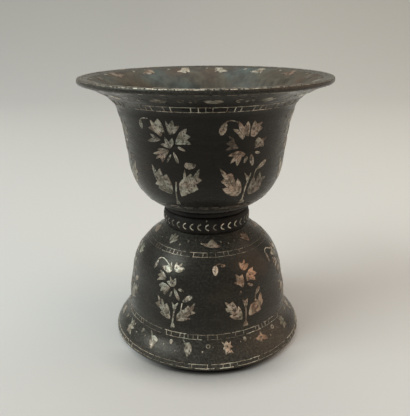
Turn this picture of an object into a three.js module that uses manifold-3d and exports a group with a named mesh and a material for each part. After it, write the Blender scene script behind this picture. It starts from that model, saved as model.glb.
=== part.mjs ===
// Waisted cup of blackened zinc alloy, inlaid with silver.
// Two turned castings, a flaring bowl and a bell-shaped foot, meet at a narrow neck.
// A spigot under the bowl passes through a collar and a bead ring into the foot.
// Silver plants, wires and a ladder band lie flush in recesses cut into both castings.
// Millimetres, +Z up, origin on the axis at the level the foot stands on; -Y is the front.

import * as THREE from "three";
import { mergeVertices } from "three/addons/utils/BufferGeometryUtils.js";
import Module from "manifold-3d";

// Driving dimensions: the whole cup
const cupHeight = 130.9;
const rimRadius = 59.5;

// Driving dimensions: the foot
const footRadius = 48.8;
const footEdgeHeight = 1.8;
const footEdgeChamfer = 0.8;
const flareHeight = 16.1;
const flareDraw = 2.7;
const bellRadius = 41;
const bellWallHeight = 15;
const bellWallTaper = 2.1;
const domeHeight = 25;
const domeDraw = 1.5;
const footTopRadius = 20.8;
const footWall = 3.4;

// Driving dimensions: the neck
const spigotRadius = 15.4;
const spigotWall = 3.2;
const spigotReach = 6.4;
const beadRingRadius = 21.2;
const beadRingHeight = 8.2;
const beadRingBulge = 1.4;
const collarRadius = 20.4;
const collarHeight = 2.8;
const collarBulge = 0.8;
const fit = 0.3;

// Driving dimensions: the bowl
const bowlBaseRadius = 21.2;
const bellyHeight = 24;
const bellyRadius = 38.1;
const bellyDraw = 1.1;
const throatRadius = 42.4;
const throatDraw = 2.2;
const mouthHeight = 11.2;
const lipThickness = 2.4;
const lipRounding = 1.2;
const bowlWall = 3;

// Driving dimensions: the plate that closes the foot from below
const plateRadius = 42;
const plateThickness = 1.6;
const plateRecess = 2.2;
const plateLedge = 2;

// Driving dimensions: the inlaid silver
const silverThickness = 0.6;
const wireWidth = 0.8;
const ladderHeight = 2.6;
const rungWidth = 0.7;
const rungsPerFlat = 1;
const ladderAboveThroat = 2.4;
const shoulderWireDrop = 5.8;
const flareWireDrop = 3.4;
const edgeWireRise = 1.9;
const plantGap = 3.6;
const plantCount = 7;
const bowlPlantRise = 7.8;
const bowlPlantSpread = 13.6;
const bowlPlantAngle = 29.1;
const footPlantSpread = 13.2;
const footPlantAngle = 26.4;
const stemWidth = 1;
const rootWidth = 3.8;
const fanCount = 5;
const fanSpacing = 52;
const firstFan = 20;
const dropCount = 3;
const dropSpacing = 39;
const firstDrop = 262;

// How finely round forms are turned: every plant spans the same number of flats
const flatsPerPlant = 4;
const turnSteps = plantCount * flatsPerPlant;

// Heights that follow
const bellLevel = footEdgeHeight + flareHeight;
const shoulderLevel = bellLevel + bellWallHeight;
const footHeight = shoulderLevel + domeHeight;
const beadRingTop = footHeight + beadRingHeight;
const collarTop = beadRingTop + collarHeight;
const bellyLevel = collarTop + bellyHeight;
const lipLevel = cupHeight - lipThickness;
const throatLevel = lipLevel - mouthHeight;

const blackAlloy = new THREE.MeshStandardMaterial({ color: 0x24231f, roughness: 0.45, metalness: 0.7 });
const greyAlloy = new THREE.MeshStandardMaterial({ color: 0x4a4944, roughness: 0.6, metalness: 0.7 });
const silver = new THREE.MeshStandardMaterial({ color: 0xb9a98c, roughness: 0.35, metalness: 0.9 });

const wasm = await Module();
wasm.setup();
const cup = new THREE.Group();

// Small helpers for points, in (radius, height) or (across, up)
const point = (x, y) => new THREE.Vector2(x, y);
const between = (from, to, share) => from + share * (to - from);

function curve(start, leaving, arriving, end, steps) {
  return new THREE.CubicBezierCurve(start, leaving, arriving, end).getPoints(steps).slice(1);
}

function polar(centre, reach, degrees) {
  const turn = THREE.MathUtils.degToRad(degrees);
  return point(centre.x + reach * Math.cos(turn), centre.y + reach * Math.sin(turn));
}

// Each point of a chain moved square to it, to the right of its direction
function shifted(chain, distance, closed = false) {
  return chain.map((at, i) => {
    const before = chain[i - 1] ?? (closed ? chain.at(-1) : null);
    const after = chain[i + 1] ?? (closed ? chain[0] : null);
    const arriving = at.clone().sub(before ?? at).normalize();
    const leaving = (after ?? at).clone().sub(at).normalize();
    const along = arriving.clone().add(leaving).normalize();
    const lean = Math.max(along.dot(before ? arriving : leaving), 0.5);
    return point(at.x + (distance * along.y) / lean, at.y - (distance * along.x) / lean);
  });
}

// A closed (radius, height) profile turned about the Z axis
function turned(profile, angle = 0) {
  const geometry = new THREE.LatheGeometry([...profile, profile[0].clone()], turnSteps);
  const halfFlat = 180 / turnSteps;
  return geometry.rotateX(Math.PI / 2).rotateZ(THREE.MathUtils.degToRad(angle + halfFlat));
}

// A closed geometry as a solid that can be joined and cut
function solid(geometry) {
  geometry.deleteAttribute("normal");
  geometry.deleteAttribute("uv");
  const merged = mergeVertices(geometry, 1e-4);
  return new wasm.Manifold(new wasm.Mesh({
    numProp: 3,
    vertProperties: merged.attributes.position.array,
    triVerts: Uint32Array.from(merged.index.array),
  }));
}

const joined = (parts) => parts.reduce((whole, part) => whole.add(part));

function geometryOf(cutSolid) {
  const { vertProperties, triVerts } = cutSolid.getMesh();
  const geometry = new THREE.BufferGeometry();
  geometry.setAttribute("position", new THREE.BufferAttribute(vertProperties, 3));
  geometry.setIndex(new THREE.BufferAttribute(triVerts, 1));
  geometry.computeVertexNormals();
  return geometry;
}

function add(name, geometry, material) {
  const mesh = new THREE.Mesh(geometry, material);
  mesh.name = name;
  cup.add(mesh);
}

// The foot's outside, from the standing edge up to the neck
function footOutside() {
  const edge = point(footRadius, footEdgeHeight);
  const bell = point(bellRadius, bellLevel);
  const shoulder = point(bellRadius - bellWallTaper, shoulderLevel);
  const top = point(footTopRadius, footHeight);
  return [
    point(footRadius - footEdgeChamfer, 0),
    point(footRadius, footEdgeChamfer),
    edge,
    ...curve(
      edge,
      point(footRadius - flareDraw, between(footEdgeHeight, bellLevel, 0.45)),
      point(bellRadius, between(footEdgeHeight, bellLevel, 0.44)),
      bell, 4,
    ),
    shoulder,
    ...curve(
      shoulder,
      point(shoulder.x - domeDraw, between(shoulderLevel, footHeight, 0.63)),
      point(between(footTopRadius, shoulder.x, 0.3), between(shoulderLevel, footHeight, 0.82)),
      top, 4,
    ),
  ];
}

// The foot's inside, from the neck hole down to the seat of the closing plate
function footInside() {
  const holeRadius = spigotRadius + fit;
  const seatRadius = plateRadius + fit;
  const ledgeLevel = plateRecess + plateThickness + fit;
  const ceiling = point(holeRadius, footHeight - footWall);
  const shoulder = point(bellRadius - bellWallTaper - footWall, shoulderLevel);
  return [
    point(holeRadius, footHeight),
    ceiling,
    ...curve(
      ceiling,
      point(between(holeRadius, shoulder.x, 0.65), ceiling.y - 0.2 * domeHeight),
      point(shoulder.x - domeDraw, between(shoulderLevel, footHeight, 0.45)),
      shoulder, 3,
    ),
    point(bellRadius - footWall, bellLevel),
    point(seatRadius - plateLedge, ledgeLevel),
    point(seatRadius, ledgeLevel),
    point(seatRadius, 0),
  ];
}

// The bowl's outside, from the spigot's shoulder up to the lip
function bowlOutside() {
  const base = point(bowlBaseRadius, collarTop);
  const belly = point(bellyRadius, bellyLevel);
  const throat = point(throatRadius, throatLevel);
  const underLip = point(rimRadius - lipRounding, lipLevel);
  return [
    base,
    ...curve(
      base,
      point(between(bowlBaseRadius, bellyRadius, 0.68), between(collarTop, bellyLevel, 0.16)),
      point(bellyRadius - bellyDraw, between(collarTop, bellyLevel, 0.54)),
      belly, 3,
    ),
    ...curve(
      belly,
      point(bellyRadius + bellyDraw / 2, between(bellyLevel, throatLevel, 0.36)),
      point(throatRadius - throatDraw, between(bellyLevel, throatLevel, 0.7)),
      throat, 2,
    ),
    ...curve(
      throat,
      point(throatRadius + throatDraw, between(throatLevel, lipLevel, 0.65)),
      point(between(throatRadius, rimRadius, 0.88), between(throatLevel, lipLevel, 0.94)),
      underLip, 5,
    ),
    point(rimRadius, between(lipLevel, cupHeight, 0.5)),
  ];
}

// The bowl's inside, from the lip down to the passage through the neck
function bowlInside() {
  const lip = point(rimRadius - lipRounding, cupHeight);
  const throat = point(throatRadius - bowlWall, throatLevel);
  const belly = point(bellyRadius - bowlWall, bellyLevel);
  const floorLevel = collarTop + bowlWall;
  const passage = point(spigotRadius - spigotWall, floorLevel);
  return [
    lip,
    ...curve(
      lip,
      point(between(throatRadius, rimRadius, 0.36), cupHeight - 0.16 * lipThickness),
      point(throat.x + throatDraw / 2, between(throatLevel, cupHeight, 0.55)),
      throat, 3,
    ),
    belly,
    ...curve(
      belly,
      point(belly.x - bellyDraw, between(floorLevel, bellyLevel, 0.45)),
      point(between(passage.x, belly.x, 0.74), between(floorLevel, bellyLevel, 0.08)),
      passage, 3,
    ),
  ];
}

// The skin of a casting between two depths, measured inwards from its outside
function skin(outside, from, to, angle) {
  return solid(turned([...shifted(outside, -from), ...shifted(outside, -to).reverse()], angle));
}

// Silver cut to a shape lies flush in a recess that clears it on every side.
// A cutter gives the shape of each piece, grown by a distance, as a solid that goes through the wall.
function inlay(casting, outside, angle, cutter, names) {
  const silverSkin = skin(outside, 0, silverThickness, angle);
  const recessSkin = skin(outside, -1, silverThickness + fit, angle);
  cutter(0).forEach((shape, i) => add(names[i], geometryOf(shape.intersect(silverSkin)), silver));
  return cutter(fit).reduce((rest, shape) => rest.subtract(shape.intersect(recessSkin)), casting);
}

// Cutters reach from inside the smallest radius to beyond the largest
const cutterMargin = 2;
const cutterStart = Math.min(footTopRadius, bowlBaseRadius);
const cutterLength = rimRadius + cutterMargin - cutterStart;

function slab(low, high) {
  const end = cutterStart + cutterLength;
  const corners = [point(cutterStart, low), point(end, low), point(end, high), point(cutterStart, high)];
  return solid(turned(corners));
}

// A wire lying round the casting
function wireCutter(level) {
  return (growth) => [slab(level - wireWidth / 2 - growth, level + wireWidth / 2 + growth)];
}

// Two wires joined by rungs, in one broad groove
function ladderCutter(low) {
  const high = low + ladderHeight;
  const rungCount = turnSteps * rungsPerFlat;
  return (growth) => {
    if (growth > 0) return [slab(low - growth, high + growth)];
    const parts = [slab(low, low + wireWidth), slab(high - wireWidth, high)];
    for (let i = 0; i < rungCount; i += 1) {
      const rung = new THREE.BoxGeometry(cutterLength, rungWidth, ladderHeight - wireWidth);
      rung.translate(cutterStart + cutterLength / 2, 0, (low + high) / 2);
      parts.push(solid(rung).rotate([0, 0, bowlPlantAngle + (i * 360) / rungCount]));
    }
    return [joined(parts)];
  };
}

// A flower seen from above: fan-shaped petals round the top, small drops beneath
function flowerOutline(heart, reach) {
  const outline = [];
  for (let i = 0; i < fanCount; i += 1) {
    const middle = firstFan + i * fanSpacing;
    outline.push(polar(heart, 0.36 * reach, middle - 0.5 * fanSpacing));
    outline.push(polar(heart, 0.94 * reach, middle - 0.34 * fanSpacing));
    outline.push(polar(heart, reach, middle + 0.3 * fanSpacing));
  }
  for (let i = 0; i < dropCount; i += 1) {
    const middle = firstDrop + i * dropSpacing;
    outline.push(polar(heart, 0.34 * reach, middle - 0.5 * dropSpacing));
    outline.push(polar(heart, 0.8 * reach, middle));
  }
  return outline;
}

// A leaf with a toothed outer edge and a smooth inner one; side is 1 on the right, -1 on the left
function leafOutline(side, start, tip) {
  const axis = tip.clone().sub(start);
  const out = point(axis.y, -axis.x).multiplyScalar(side);
  const at = (along, across) => start.clone().addScaledVector(axis, along).addScaledVector(out, across);
  const outline = [at(0, 0), at(0.4, 0.36), at(0.58, 0.16), at(1, 0), at(0.42, -0.2)];
  return side > 0 ? outline : outline.reverse();
}

// One plant on a flat sheet, in millimetres across and up from its root
function plantOutlines(spread, height) {
  const heart = point(-0.09 * spread, 0.72 * height);
  const stem = stemWidth / 2;
  const foot = rootWidth / 2;
  const leafStart = 0.13 * height;
  const leafTop = 0.47 * height;
  return [
    flowerOutline(heart, 0.27 * height),
    leafOutline(-1, point(0, leafStart), point(-0.87 * spread, leafTop)),
    leafOutline(1, point(0, leafStart), point(0.87 * spread, leafTop)),
    [
      point(-foot, 0), point(foot, 0), point(stem, foot),
      point(stem, heart.y), point(-stem, heart.y), point(-stem, foot),
    ],
  ];
}

const eachPlant = (make) => Array.from({ length: plantCount }, (_, i) => make(i));

// The plants stand round the casting, each cut straight in from its own side
function plantCutter(root, top, spread, radius, angle) {
  const wrapped = (at) => point(radius * Math.sin(at.x / radius), at.y);
  return (growth) => {
    const plant = joined(plantOutlines(spread, top - root).map((outline) => {
      const sheet = new THREE.Shape(shifted(outline, growth, true).map(wrapped));
      const prism = new THREE.ExtrudeGeometry(sheet, { depth: cutterLength, bevelEnabled: false });
      return solid(prism.translate(0, root, cutterStart).rotateX(Math.PI / 2));
    }));
    return eachPlant((i) => plant.rotate([0, 0, angle + (i * 360) / plantCount]));
  };
}

// The bowl with its spigot and the silver in it
function addBowl() {
  const outside = bowlOutside();
  const spigotEnd = footHeight - spigotReach;
  const ladderLow = throatLevel + ladderAboveThroat;
  const plants = plantCutter(
    collarTop + bowlPlantRise, ladderLow - plantGap, bowlPlantSpread, bellyRadius, bowlPlantAngle,
  );
  let casting = solid(turned([
    point(spigotRadius - spigotWall, spigotEnd),
    point(spigotRadius, spigotEnd),
    point(spigotRadius, collarTop),
    ...outside,
    ...bowlInside(),
  ], bowlPlantAngle));
  casting = inlay(casting, outside, bowlPlantAngle, ladderCutter(ladderLow), ["bowl_ladder"]);
  casting = inlay(casting, outside, bowlPlantAngle, plants, eachPlant((i) => `bowl_plant_${i + 1}`));
  add("bowl", geometryOf(casting), blackAlloy);
}

// The foot and the silver in it
function addFoot() {
  const outside = footOutside();
  const shoulderWire = footHeight - shoulderWireDrop;
  const flareWire = bellLevel - flareWireDrop;
  const edgeWire = footEdgeHeight + edgeWireRise;
  const plants = plantCutter(
    flareWire + plantGap, shoulderWire - plantGap, footPlantSpread, bellRadius, footPlantAngle,
  );
  let casting = solid(turned([...outside, ...footInside()], footPlantAngle));
  const wires = { foot_shoulder_wire: shoulderWire, foot_flare_wire: flareWire, foot_edge_wire: edgeWire };
  for (const [name, level] of Object.entries(wires)) {
    casting = inlay(casting, outside, footPlantAngle, wireCutter(level), [name]);
  }
  casting = inlay(casting, outside, footPlantAngle, plants, eachPlant((i) => `foot_plant_${i + 1}`));
  add("foot_bell", geometryOf(casting), blackAlloy);
}

// A ring threaded on the spigot, bulging at its outside
function addRing(name, low, high, radius, bulge) {
  const inner = spigotRadius + fit;
  const start = point(radius, low);
  const end = point(radius, high);
  const lower = point(radius + bulge, between(low, high, 0.2));
  const upper = point(radius + bulge, between(low, high, 0.8));
  const side = curve(start, lower, upper, end, 3);
  add(name, turned([point(inner, low), start, ...side, point(inner, high)]), blackAlloy);
}

// The disc that closes the foot from below
function addBasePlate() {
  const top = plateRecess + plateThickness;
  const rim = [point(plateRadius, plateRecess), point(plateRadius, top)];
  add("base_plate", turned([point(0, plateRecess), ...rim, point(0, top)]), greyAlloy);
}

addBowl();
addRing("neck_collar", beadRingTop, collarTop, collarRadius, collarBulge);
addRing("bead_ring", footHeight, beadRingTop, beadRingRadius, beadRingBulge);
addFoot();
addBasePlate();

export default cup;
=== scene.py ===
# %% [markdown]
# # A waisted cup in blackened zinc alloy, inlaid with silver
# Two turned castings meet at a narrow neck: a flaring bowl above and a bell-shaped foot below.
# The outside is blackened with a salt paste, and silver flowers, wires and ladder bands lie flush in it.
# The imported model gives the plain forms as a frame. This lesson makes every visible surface anew, as
# sheets worked out with numpy in millimetres, and each one stands for the frame's node that it covers.

# %% Load the frame
import math

import bpy
import numpy as np
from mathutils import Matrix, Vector


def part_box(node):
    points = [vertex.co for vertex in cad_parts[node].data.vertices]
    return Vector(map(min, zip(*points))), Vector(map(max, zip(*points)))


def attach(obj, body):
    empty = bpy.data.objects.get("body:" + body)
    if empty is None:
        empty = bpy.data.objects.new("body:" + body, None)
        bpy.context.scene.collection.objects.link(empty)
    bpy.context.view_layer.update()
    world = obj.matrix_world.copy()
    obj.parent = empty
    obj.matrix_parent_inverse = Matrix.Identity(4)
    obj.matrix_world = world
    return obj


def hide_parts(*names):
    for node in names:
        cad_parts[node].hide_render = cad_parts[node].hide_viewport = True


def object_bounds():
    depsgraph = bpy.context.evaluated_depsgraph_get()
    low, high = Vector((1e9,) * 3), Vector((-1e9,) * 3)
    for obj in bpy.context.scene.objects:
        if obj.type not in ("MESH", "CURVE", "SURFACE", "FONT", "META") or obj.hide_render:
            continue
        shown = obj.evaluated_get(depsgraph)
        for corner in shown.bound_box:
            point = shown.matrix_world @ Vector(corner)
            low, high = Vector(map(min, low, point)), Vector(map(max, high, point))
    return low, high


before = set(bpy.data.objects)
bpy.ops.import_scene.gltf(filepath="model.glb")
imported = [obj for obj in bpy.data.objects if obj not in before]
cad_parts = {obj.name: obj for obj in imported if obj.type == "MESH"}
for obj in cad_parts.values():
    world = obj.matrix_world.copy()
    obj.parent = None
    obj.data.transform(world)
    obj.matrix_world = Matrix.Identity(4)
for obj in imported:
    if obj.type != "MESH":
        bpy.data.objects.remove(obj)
cad_low, cad_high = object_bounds()
MM = 0.001
rim_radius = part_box("bowl")[1].x / MM
cup_height = cad_high.z / MM
print("cup height", round(cup_height, 1), "mm, rim radius", round(rim_radius, 1), "mm")

# %% [markdown]
# ## The camera
# A camera can be fitted to a photograph of a round thing, because its rim and foot are circles: their
# ellipses give the tilt, and their widths give the distance. Here the distance is 4.2 rim radii, which
# is close, so the foot looks smaller than the rim. The picture is 416 pixels high, and the focal length
# is kept in pixels of that picture, since this is how it was measured.

# %% The camera
camera_distance = 4.232 * rim_radius
camera_above_rim = 0.365 * rim_radius
camera_pitch = math.radians(19.37)
camera_yaw = math.radians(0.18)
camera_roll = math.radians(0.45)
focal_pixels = 518.4
picture_height = 416
sensor_width = 36.0
camera_data = bpy.data.cameras.new("camera")
camera_data.sensor_width = sensor_width
camera_data.lens = focal_pixels * sensor_width / picture_height
camera_data.clip_start = 0.01
camera_data.clip_end = 20
camera = bpy.data.objects.new("camera", camera_data)
bpy.context.scene.collection.objects.link(camera)
camera.location = (0, -camera_distance * MM, (cup_height + camera_above_rim) * MM)
camera.rotation_euler = (math.pi / 2 - camera_pitch, 0, camera_yaw)
camera.rotation_euler.rotate_axis("Z", -camera_roll)
bpy.context.scene.camera = camera
print("camera stands", round(camera_distance), "mm from the axis")

# %% [markdown]
# ## Outlines to turn
# A turned vessel is one outline spun about an axis. The outline of each casting was read from the
# silhouette in the photograph, and a few cubic curves follow it within half a millimetre. Each turning
# keeps the length along its outline too, because silver is laid out by length, as a strip of paper
# wrapped round the vessel would be, and not by height.


# %% Curves and turnings
def curve(start, leaving, arriving, end, steps=36):
    """A cubic curve: the four points weighted by (1-t)^3, 3t(1-t)^2, 3t^2(1-t) and t^3."""
    t = np.linspace(0, 1, steps + 1)[:, None]
    start, leaving, arriving, end = (np.array(p, float) for p in (start, leaving, arriving, end))
    return (1 - t) ** 3 * start + 3 * t * (1 - t) ** 2 * leaving + 3 * t**2 * (1 - t) * arriving + t**3 * end


def chain(*stretches):
    """Stretches of (radius, height) points one after another, without the points that repeat."""
    points = np.vstack([np.atleast_2d(np.array(stretch, float)) for stretch in stretches])
    steps = np.hypot(*np.diff(points, axis=0).T)
    return points[np.append(True, steps > 1e-6)]


def turning(points):
    """The outline with its running length and its normal, which points to the right of its direction."""
    steps = np.hypot(*np.diff(points, axis=0).T)
    length = np.append(0, np.cumsum(steps))
    tangent = np.gradient(points, length, axis=0)
    tangent /= np.linalg.norm(tangent, axis=1, keepdims=True)
    return {"points": points, "length": length, "normal": np.stack([tangent[:, 1], -tangent[:, 0]], 1)}


def length_at(outline, height):
    """The running length at which a rising outline reaches a height."""
    return float(np.interp(height, outline["points"][:, 1], outline["length"]))


# %% The outlines of the two castings
bowl_base = 68.9
bowl_outside = turning(chain(
    curve((21.1, bowl_base), (32.7, 72.7), (37.0, 81.8), (38.1, 92.9)),
    curve((38.1, 92.9), (40.2, 112.0), (40.1, 108.9), (42.4, 117.3)),
    curve((42.4, 117.3), (44.7, 124.6), (58.0, 127.8), (58.4, 128.3)),
    curve((58.4, 128.3), (59.2, 128.5), (59.5, 128.8), (59.5, 129.4), 6),
    curve((59.5, 129.4), (59.5, 130.2), (59.2, 130.8), (58.4, 130.9), 6),
))
lip_inside = turning(chain(
    curve((58.4, 130.9), (57.7, 130.9), (57.2, 130.8), (56.5, 130.6), 6),
    curve((56.5, 130.6), (55.8, 130.4), (55.2, 130.3), (54.6, 130.1), 4),
))
bowl_inside = turning(chain(
    curve((54.6, 130.1), (47.0, 128.2), (41.7, 124.3), (39.4, 117.3)),
    curve((39.4, 117.3), (37.9, 110.1), (36.1, 101.7), (35.1, 92.9)),
    curve((35.1, 92.9), (34.0, 81.4), (29.1, 73.6), (12.2, 71.9)),
))
foot_outside = turning(chain(
    curve((46.8, 0.0), (47.8, 0.1), (48.7, 0.5), (48.8, 1.3), 6),
    curve((48.8, 1.3), (48.9, 1.5), (48.9, 1.6), (48.8, 1.8), 3),
    curve((48.8, 1.8), (46.1, 9.1), (41.1, 8.9), (41.0, 17.9)),
    curve((41.0, 17.9), (40.9, 25.2), (39.7, 26.9), (38.9, 32.9)),
    curve((38.9, 32.9), (37.4, 48.6), (26.2, 53.3), (20.7, 57.9)),
))
foot_inside = turning(chain(
    curve((15.7, 57.9), (15.7, 57), (15.7, 56), (15.7, 54.5), 6),
    curve((15.7, 54.5), (28.6, 49.5), (34.0, 44.2), (35.5, 32.9)),
    curve((35.5, 32.9), (36.2, 27.9), (36.9, 22.9), (37.6, 17.9)),
    [(40.3, 4.1), (42.3, 4.1), (42.3, 0)],
))
for name, outline in (("bowl", bowl_outside), ("foot", foot_outside)):
    print(name, "outline is", round(float(outline["length"][-1]), 1), "mm long")

# %% [markdown]
# ## From a flat drawing to the casting
# The castings were turned by hand and worn since, so a perfect circle would look machine-made. A few slow
# waves are added to the radius. The same function places the castings and the silver, so the silver
# follows the waves too.


# %% Placing points on a casting
still_radius = 20


def waves(angle, height):
    """The hand-turned unevenness in mm: three slow sine waves round the axis, drifting with height."""
    return (
        0.14 * np.sin(2 * angle + 0.03 * height)
        + 0.09 * np.sin(5 * angle + 1.3 + 0.05 * height)
        + 0.05 * np.sin(11 * angle + 2.1 - 0.04 * height)
    )


def turned(outline, angle, length, lift):
    """Points in mm: the outline's point at a length, moved by lift along its normal, then turned by an
    angle from the front (-Y) towards the right (+X). Inside still_radius the waves die down to the axis."""
    at = [np.interp(length, outline["length"], outline["points"][:, k]) for k in (0, 1)]
    normal = [np.interp(length, outline["length"], outline["normal"][:, k]) for k in (0, 1)]
    height = at[1] + normal[1] * lift
    radius = at[0] + normal[0] * lift
    radius = radius + waves(angle, height) * np.clip(radius / still_radius, 0, 1)
    return np.stack(np.broadcast_arrays(radius * np.sin(angle), -radius * np.cos(angle), height), -1)


def laid(outline, angle, length, radius, flat, lift):
    """A flat drawing of (across, up) in mm, wrapped so that across is measured at one radius."""
    return turned(outline, np.radians(angle) + flat[..., 0] / radius, length + flat[..., 1], lift)


# %% [markdown]
# ## Closed skins
# Every piece is a grid of points with faces between neighbours. A casting's outline goes out, in and
# back to its start, so its grid closes in both directions, like a tyre. A sheet of silver closes round
# its outline, and a point at each end shuts its top and its underside.


# %% Skins from grids
def tyre_faces(rows, columns):
    """Four-sided faces between neighbours of a grid that closes both ways."""
    row, column = np.meshgrid(np.arange(rows), np.arange(columns), indexing="ij")
    next_row, next_column = (row + 1) % rows, (column + 1) % columns
    corners = (row, column), (row, next_column), (next_row, next_column), (next_row, column)
    return np.stack([r * columns + c for r, c in corners], -1).reshape(-1, 4)


def skin_faces(rows, columns):
    """The same for a grid that closes round its columns, with a pole before row 0 and one after the last."""
    sides = tyre_faces(rows, columns)[: (rows - 1) * columns]
    ring = np.arange(columns)
    following = (ring + 1) % columns
    first_pole, last_pole = rows * columns, rows * columns + 1
    last_row = (rows - 1) * columns
    caps = np.vstack([
        np.stack([np.full(columns, first_pole), following, ring], -1),
        np.stack([np.full(columns, last_pole), last_row + ring, last_row + following], -1),
    ])
    return sides, caps


def volume(points, faces):
    """The enclosed volume: the sum of the small pyramids from the origin to each face."""
    total = 0.0
    for corners in faces:
        for k in range(1, corners.shape[1] - 1):
            a, b, c = points[corners[:, 0]], points[corners[:, k]], points[corners[:, k + 1]]
            total += float(np.einsum("ij,ij->", a, np.cross(b, c))) / 6
    return total


def outward(points, faces):
    """The faces, turned round if they enclose a negative volume."""
    return faces if volume(points, faces) > 0 else [corners[:, ::-1] for corners in faces]


def make_piece(name, skins, materials, replaces=()):
    """One object from closed skins, each a dict of points, faces and marks for the material to read."""
    points, faces, offset = [], [], 0
    for skin in skins:
        points.append(skin["points"])
        faces += [tuple(corner) for part in skin["faces"] for corner in (part + offset).tolist()]
        offset += len(skin["points"])
    mesh = bpy.data.meshes.new(name)
    mesh.from_pydata((np.vstack(points) * MM).tolist(), [], faces)
    marks = {key: np.concatenate([skin["marks"][key] for skin in skins]) for key in skins[0].get("marks", {})}
    for key, values in marks.items():
        layer = mesh.attributes.new(key, "FLOAT_VECTOR" if values.ndim == 2 else "FLOAT", "POINT")
        layer.data.foreach_set("vector" if values.ndim == 2 else "value", values.astype(np.float32).ravel())
    for material in materials:
        mesh.materials.append(material)
    if len(materials) > 1:
        mesh.polygons.foreach_set("material_index", np.concatenate([skin["slots"] for skin in skins]))
    mesh.shade_smooth()
    mesh.set_sharp_from_angle(angle=math.radians(40))
    made = bpy.data.objects.new(name, mesh)
    bpy.context.scene.collection.objects.link(made)
    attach(made, "root")
    if replaces:
        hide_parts(*replaces)
    print(name, len(mesh.polygons), "faces")


# %% [markdown]
# ## Finishes
# A finish could be a painted picture, but a picture has seams and a limit to its detail. Here each finish is
# one Principled shader, and nodes work out its colour, roughness and bump from noise. The noise reads Object
# coordinates, so it has the same scale in millimetres on every piece. A few helpers keep this short.


# %% Node helpers
noise_roughness = 0.55


def new_finish(name, roughness, metallic, specular=0.5, sheen=0.0):
    """A material with one Principled shader, and the numbers that are the same all over set on it. Sheen is
    the pale bloom that fine dust gives to a surface seen at a grazing angle."""
    print("finish", name)
    finish = bpy.data.materials.new(name)
    finish.use_nodes = True
    shader = finish.node_tree.nodes["Principled BSDF"]
    shader.inputs["Roughness"].default_value = roughness
    shader.inputs["Metallic"].default_value = metallic
    shader.inputs["Specular IOR Level"].default_value = specular
    shader.inputs["Sheen Weight"].default_value = sheen
    shader.inputs["Sheen Roughness"].default_value = 0.4
    shader.inputs["Sheen Tint"].default_value = (1.0, 1.0, 0.92, 1)
    return finish, shader


def node(finish, kind, links=None, **values):
    """A node with some inputs set by value and some linked from other nodes' sockets."""
    made = finish.node_tree.nodes.new(kind)
    for key, value in values.items():
        if key in ("blend_type", "data_type", "operation", "attribute_name", "samples"):
            setattr(made, key, value)
        else:
            made.inputs[key.replace("_", " ")].default_value = value
    for key, socket in (links or {}).items():
        finish.node_tree.links.new(socket, made.inputs[key])
    return made


def noise(finish, scale, detail, stretch=(1, 1, 1)):
    """Noise on Object coordinates. scale is in waves per metre. stretch multiplies X, Y and Z, so above 1 it
    squeezes the pattern along that axis and below 1 it draws it out."""
    place = node(finish, "ShaderNodeTexCoord").outputs["Object"]
    if stretch != (1, 1, 1):
        place = node(finish, "ShaderNodeMapping", {"Vector": place}, Scale=stretch).outputs["Vector"]
    made = node(
        finish, "ShaderNodeTexNoise", {"Vector": place},
        Scale=scale, Detail=detail, Roughness=noise_roughness)
    return made.outputs["Fac"]


def ranged(finish, amount, low, high):
    """A share that is 0 where the amount is low and 1 where it is high."""
    made = node(finish, "ShaderNodeMapRange", {"Value": amount})
    made.inputs["From Min"].default_value = low
    made.inputs["From Max"].default_value = high
    return made.outputs[0]


def ramp(finish, amount, *stops):
    """A colour for each amount from 0 to 1, blended between stops of a position and a colour."""
    made = node(finish, "ShaderNodeValToRGB", {"Fac": amount})
    colours = made.color_ramp
    while len(colours.elements) < len(stops):
        colours.elements.new(0.5)
    for element, (position, colour) in zip(colours.elements, stops):
        element.position = position
        element.color = (*colour, 1)
    return made.outputs["Color"]


def feed(finish, socket, value):
    """Links a socket to another node's, or sets it to a number or a colour."""
    if isinstance(value, bpy.types.NodeSocket):
        finish.node_tree.links.new(value, socket)
    else:
        socket.default_value = value if np.isscalar(value) else (*value, 1)


def maths(finish, operation, *amounts):
    """One sum of sockets or numbers."""
    made = node(finish, "ShaderNodeMath", operation=operation)
    for socket, amount in zip(made.inputs, amounts):
        feed(finish, socket, amount)
    return made.outputs[0]


def blended(finish, amount, first, second, blend_type="MIX"):
    """The first colour where the amount is 0. Where it is 1, the second, or what another blend_type makes of
    the two. A Mix node takes its colours in sockets 6 and 7 and gives the result in socket 2."""
    made = node(finish, "ShaderNodeMix", data_type="RGBA", blend_type=blend_type)
    for number, value in ((0, amount), (6, first), (7, second)):
        feed(finish, made.inputs[number], value)
    return made.outputs[2]


def multiplied(finish, first, second):
    """The product of two colours."""
    return blended(finish, 1.0, first, second, "MULTIPLY")


def grey(value):
    """A colour with the same red, green and blue."""
    return (value, value, value)


def use(finish, shader, **sockets):
    """Links the shader's named inputs to other nodes' sockets."""
    for key, socket in sockets.items():
        finish.node_tree.links.new(socket, shader.inputs[key.replace("_", " ")])


def bump(finish, height, strength, distance):
    """A normal that leans as a surface would whose height goes from 0 to distance, in metres. strength is
    the share of that lean that is kept."""
    made = node(finish, "ShaderNodeBump", {"Height": height}, Strength=strength, Distance=distance)
    return made.outputs["Normal"]


def place_along(finish, axis):
    """The Object coordinate along one axis, in metres."""
    place = node(finish, "ShaderNodeTexCoord").outputs["Object"]
    return node(finish, "ShaderNodeSeparateXYZ", {"Vector": place}).outputs[axis]
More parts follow.
